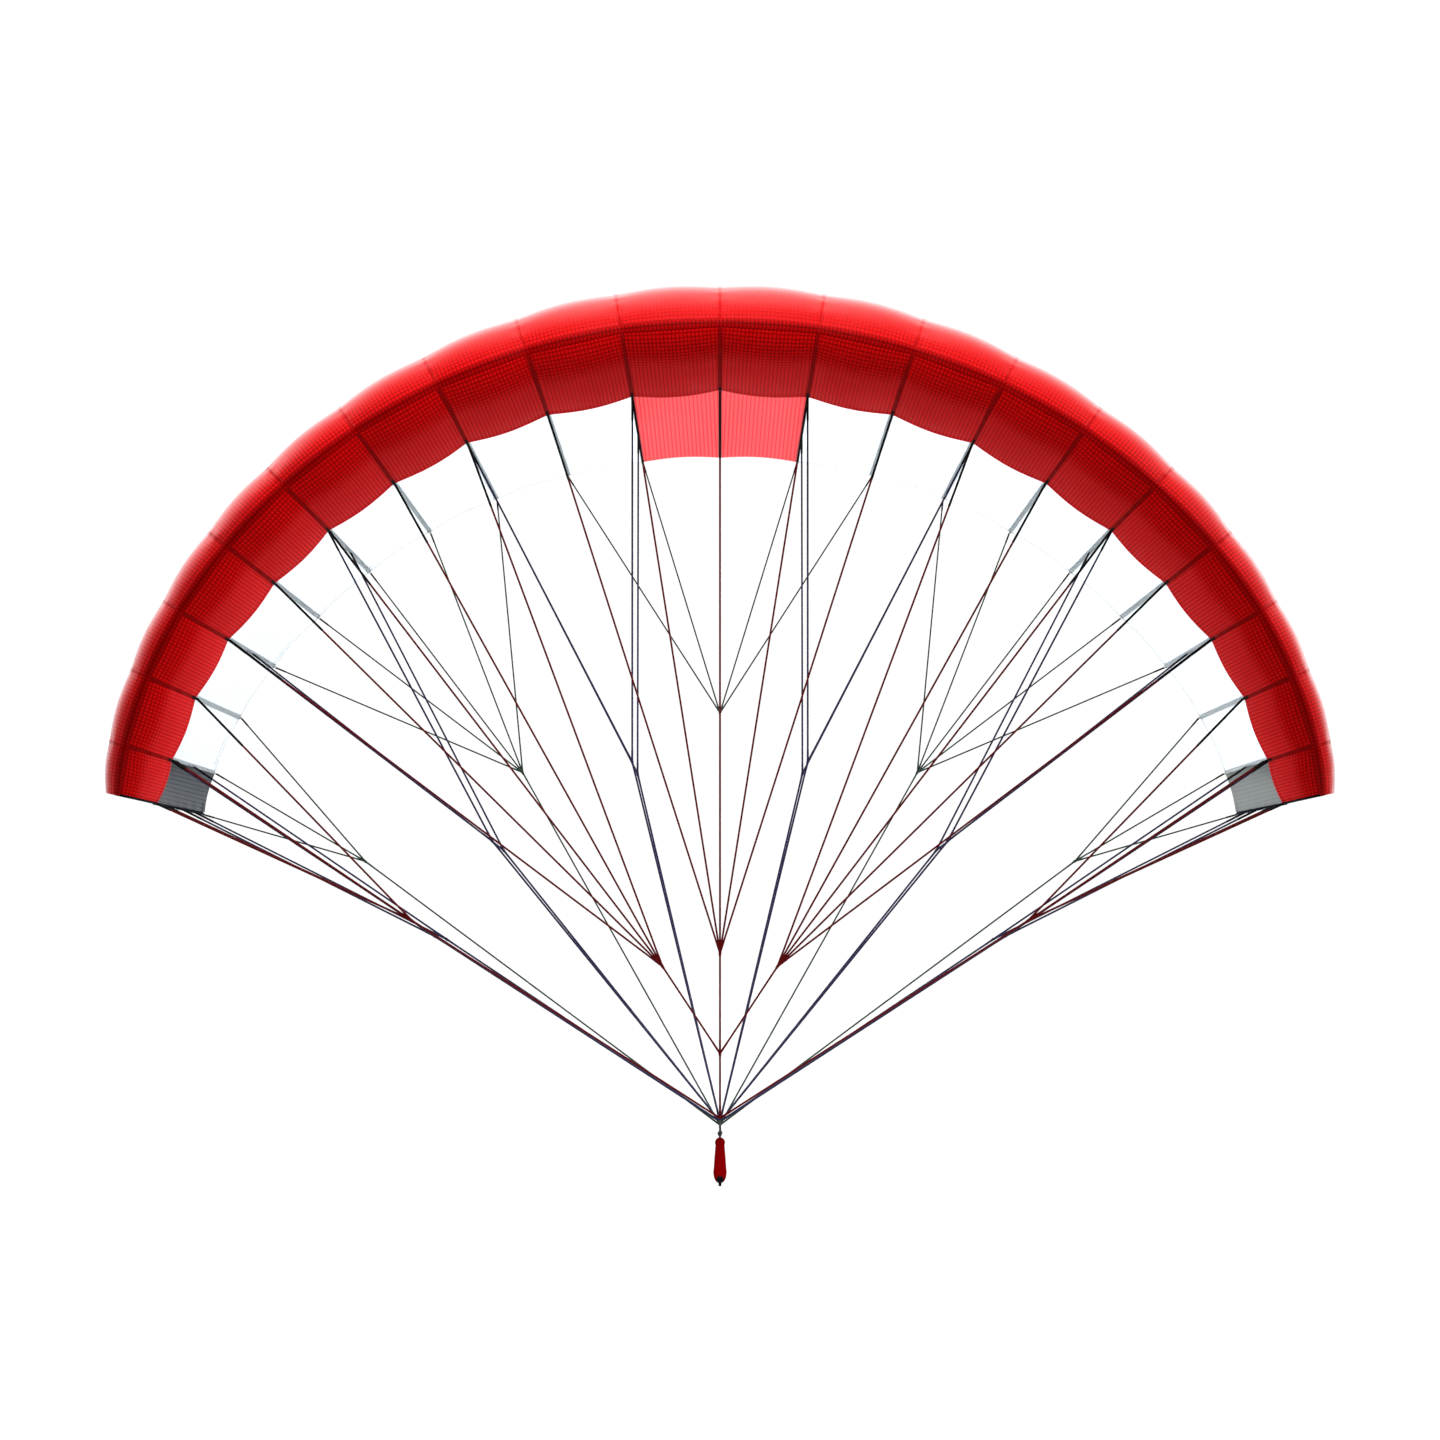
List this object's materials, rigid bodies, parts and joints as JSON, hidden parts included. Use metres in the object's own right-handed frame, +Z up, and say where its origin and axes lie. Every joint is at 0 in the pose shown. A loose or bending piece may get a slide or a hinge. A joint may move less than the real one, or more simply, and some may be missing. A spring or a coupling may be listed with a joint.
{
  "type": "parawing",
  "caption": "Single-skin wing-foil parawing in flight: arched ribbed canopy with a closed nose, a fan of taut bridle lines and a straight bar.",
  "frame": {"origin": "middle of the bar's grip, where a hand holds the kite up", "axes": "+Z up in flight; +X to the right along the span, seen from in front; +Y aft, towards the trailing edge"},
  "size_m": [2.8788, 1.2103, 1.9893],
  "materials": {
    "canopy_red": "bright red ripstop, slightly glossy coating",
    "canopy_dark_red": "dark red ripstop with a fine grid, slightly glossy coating",
    "canopy_light_red": "thin light red ripstop, lets light through",
    "canopy_white": "white ripstop, lets light through",
    "canopy_grey": "slate grey ripstop",
    "rib_cloth": "pale grey stiff ripstop, resin finish",
    "seam_tape": "pale grey woven seam tape",
    "seam_red": "deep red folded seam with two stitch rows",
    "line_red": "braided dark red line",
    "line_blue": "braided blue-grey line",
    "line_green": "braided grey-green line",
    "cord_black": "braided black cord and webbing",
    "grip_red": "soft-touch moulded grip, satin",
    "cap_black": "black moulded cap, satin"
  },
  "bodies": {
    "root": {"crown_left_5": "canopy_red", "rear_left_5": "canopy_grey", "nose_left_5": "canopy_dark_red", "crown_left_4": "canopy_red", "rear_left_4": "canopy_white", "nose_left_4": "canopy_dark_red", "crown_left_3": "canopy_red", "rear_left_3": "canopy_white", "nose_left_3": "canopy_dark_red", "crown_left_2": "canopy_red", "rear_left_2": "canopy_white", "nose_left_2": "canopy_dark_red", "crown_left_1": "canopy_red", "rear_left_1": "canopy_white", "nose_left_1": "canopy_dark_red", "crown_middle": "canopy_red", "rear_middle": "canopy_light_red", "nose_middle": "canopy_dark_red", "crown_right_1": "canopy_red", "rear_right_1": "canopy_white", "nose_right_1": "canopy_dark_red", "crown_right_2": "canopy_red", "rear_right_2": "canopy_white", "nose_right_2": "canopy_dark_red", "crown_right_3": "canopy_red", "rear_right_3": "canopy_white", "nose_right_3": "canopy_dark_red", "crown_right_4": "canopy_red", "rear_right_4": "canopy_white", "nose_right_4": "canopy_dark_red", "crown_right_5": "canopy_red", "rear_right_5": "canopy_grey", "nose_right_5": "canopy_dark_red", "rib_left_10": "rib_cloth", "rib_left_09": "rib_cloth", "rib_left_08": "rib_cloth", "rib_left_07": "rib_cloth", "rib_left_06": "rib_cloth", "rib_left_05": "rib_cloth", "rib_left_04": "rib_cloth", "rib_left_03": "rib_cloth", "rib_left_02": "rib_cloth", "rib_left_01": "rib_cloth", "rib_middle": "rib_cloth", "rib_right_01": "rib_cloth", "rib_right_02": "rib_cloth", "rib_right_03": "rib_cloth", "rib_right_04": "rib_cloth", "rib_right_05": "rib_cloth", "rib_right_06": "rib_cloth", "rib_right_07": "rib_cloth", "rib_right_08": "rib_cloth", "rib_right_09": "rib_cloth", "rib_right_10": "rib_cloth", "bridle_front": "line_red", "bridle_middle": "line_blue", "bridle_rear": "line_green", "pigtail": "cord_black", "bar_grip": "grip_red", "bar_cap": "cap_black"}
  },
  "joints": []
}
